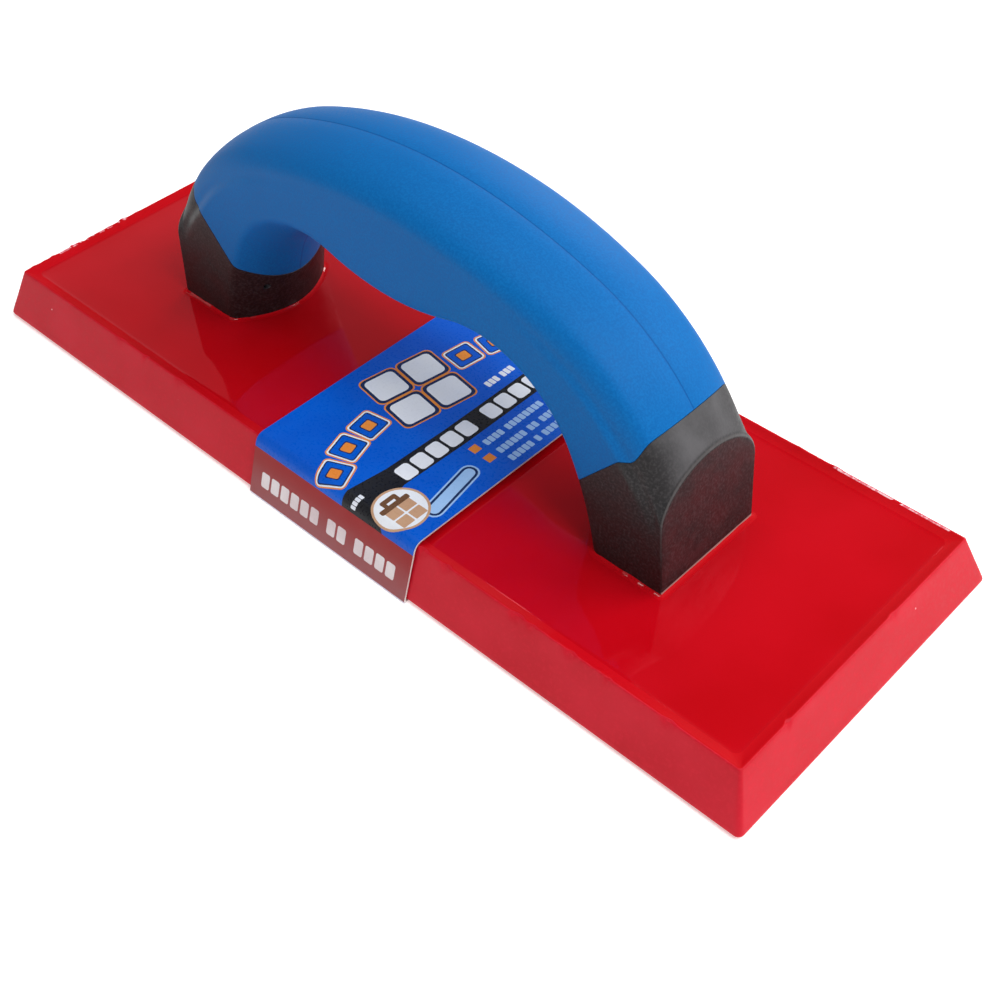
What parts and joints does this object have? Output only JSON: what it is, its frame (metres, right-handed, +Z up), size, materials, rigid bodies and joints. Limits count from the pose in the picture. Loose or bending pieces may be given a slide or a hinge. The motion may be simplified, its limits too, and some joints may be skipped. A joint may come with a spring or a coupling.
{
  "type": "grout float",
  "caption": "Hand grout float: bevelled urethane pad with an arched soft-grip handle cast into it and a card band that slides along the pad.",
  "frame": {"origin": "centre of the pad's footprint, on the surface that the float lies on", "axes": "+X along the pad and its handle, +Y across the pad, +Z up through the handle"},
  "size_m": [0.28, 0.1046, 0.0892],
  "materials": {
    "urethane": "cast red urethane, glossy film on top, satin sides",
    "plate": "mill finish sheet",
    "core": "black fine-textured plastic",
    "grip": "blue matte soft-touch elastomer",
    "screws": "zinc plated",
    "washers": "zinc plated",
    "card": "printed card with a satin coat"
  },
  "bodies": {
    "float": {"urethane_pad": "urethane", "backing_plate": "plate", "handle_core": "core", "soft_grip": "grip", "handle_screws": "screws", "screw_washers": "washers"},
    "band": {"label_band": "card"}
  },
  "joints": [
    {"name": "band_slide", "type": "slide", "parent": "float", "child": "band", "axis": [1, 0, 0], "range_m": [-0.0355, 0.0225]}
  ]
}
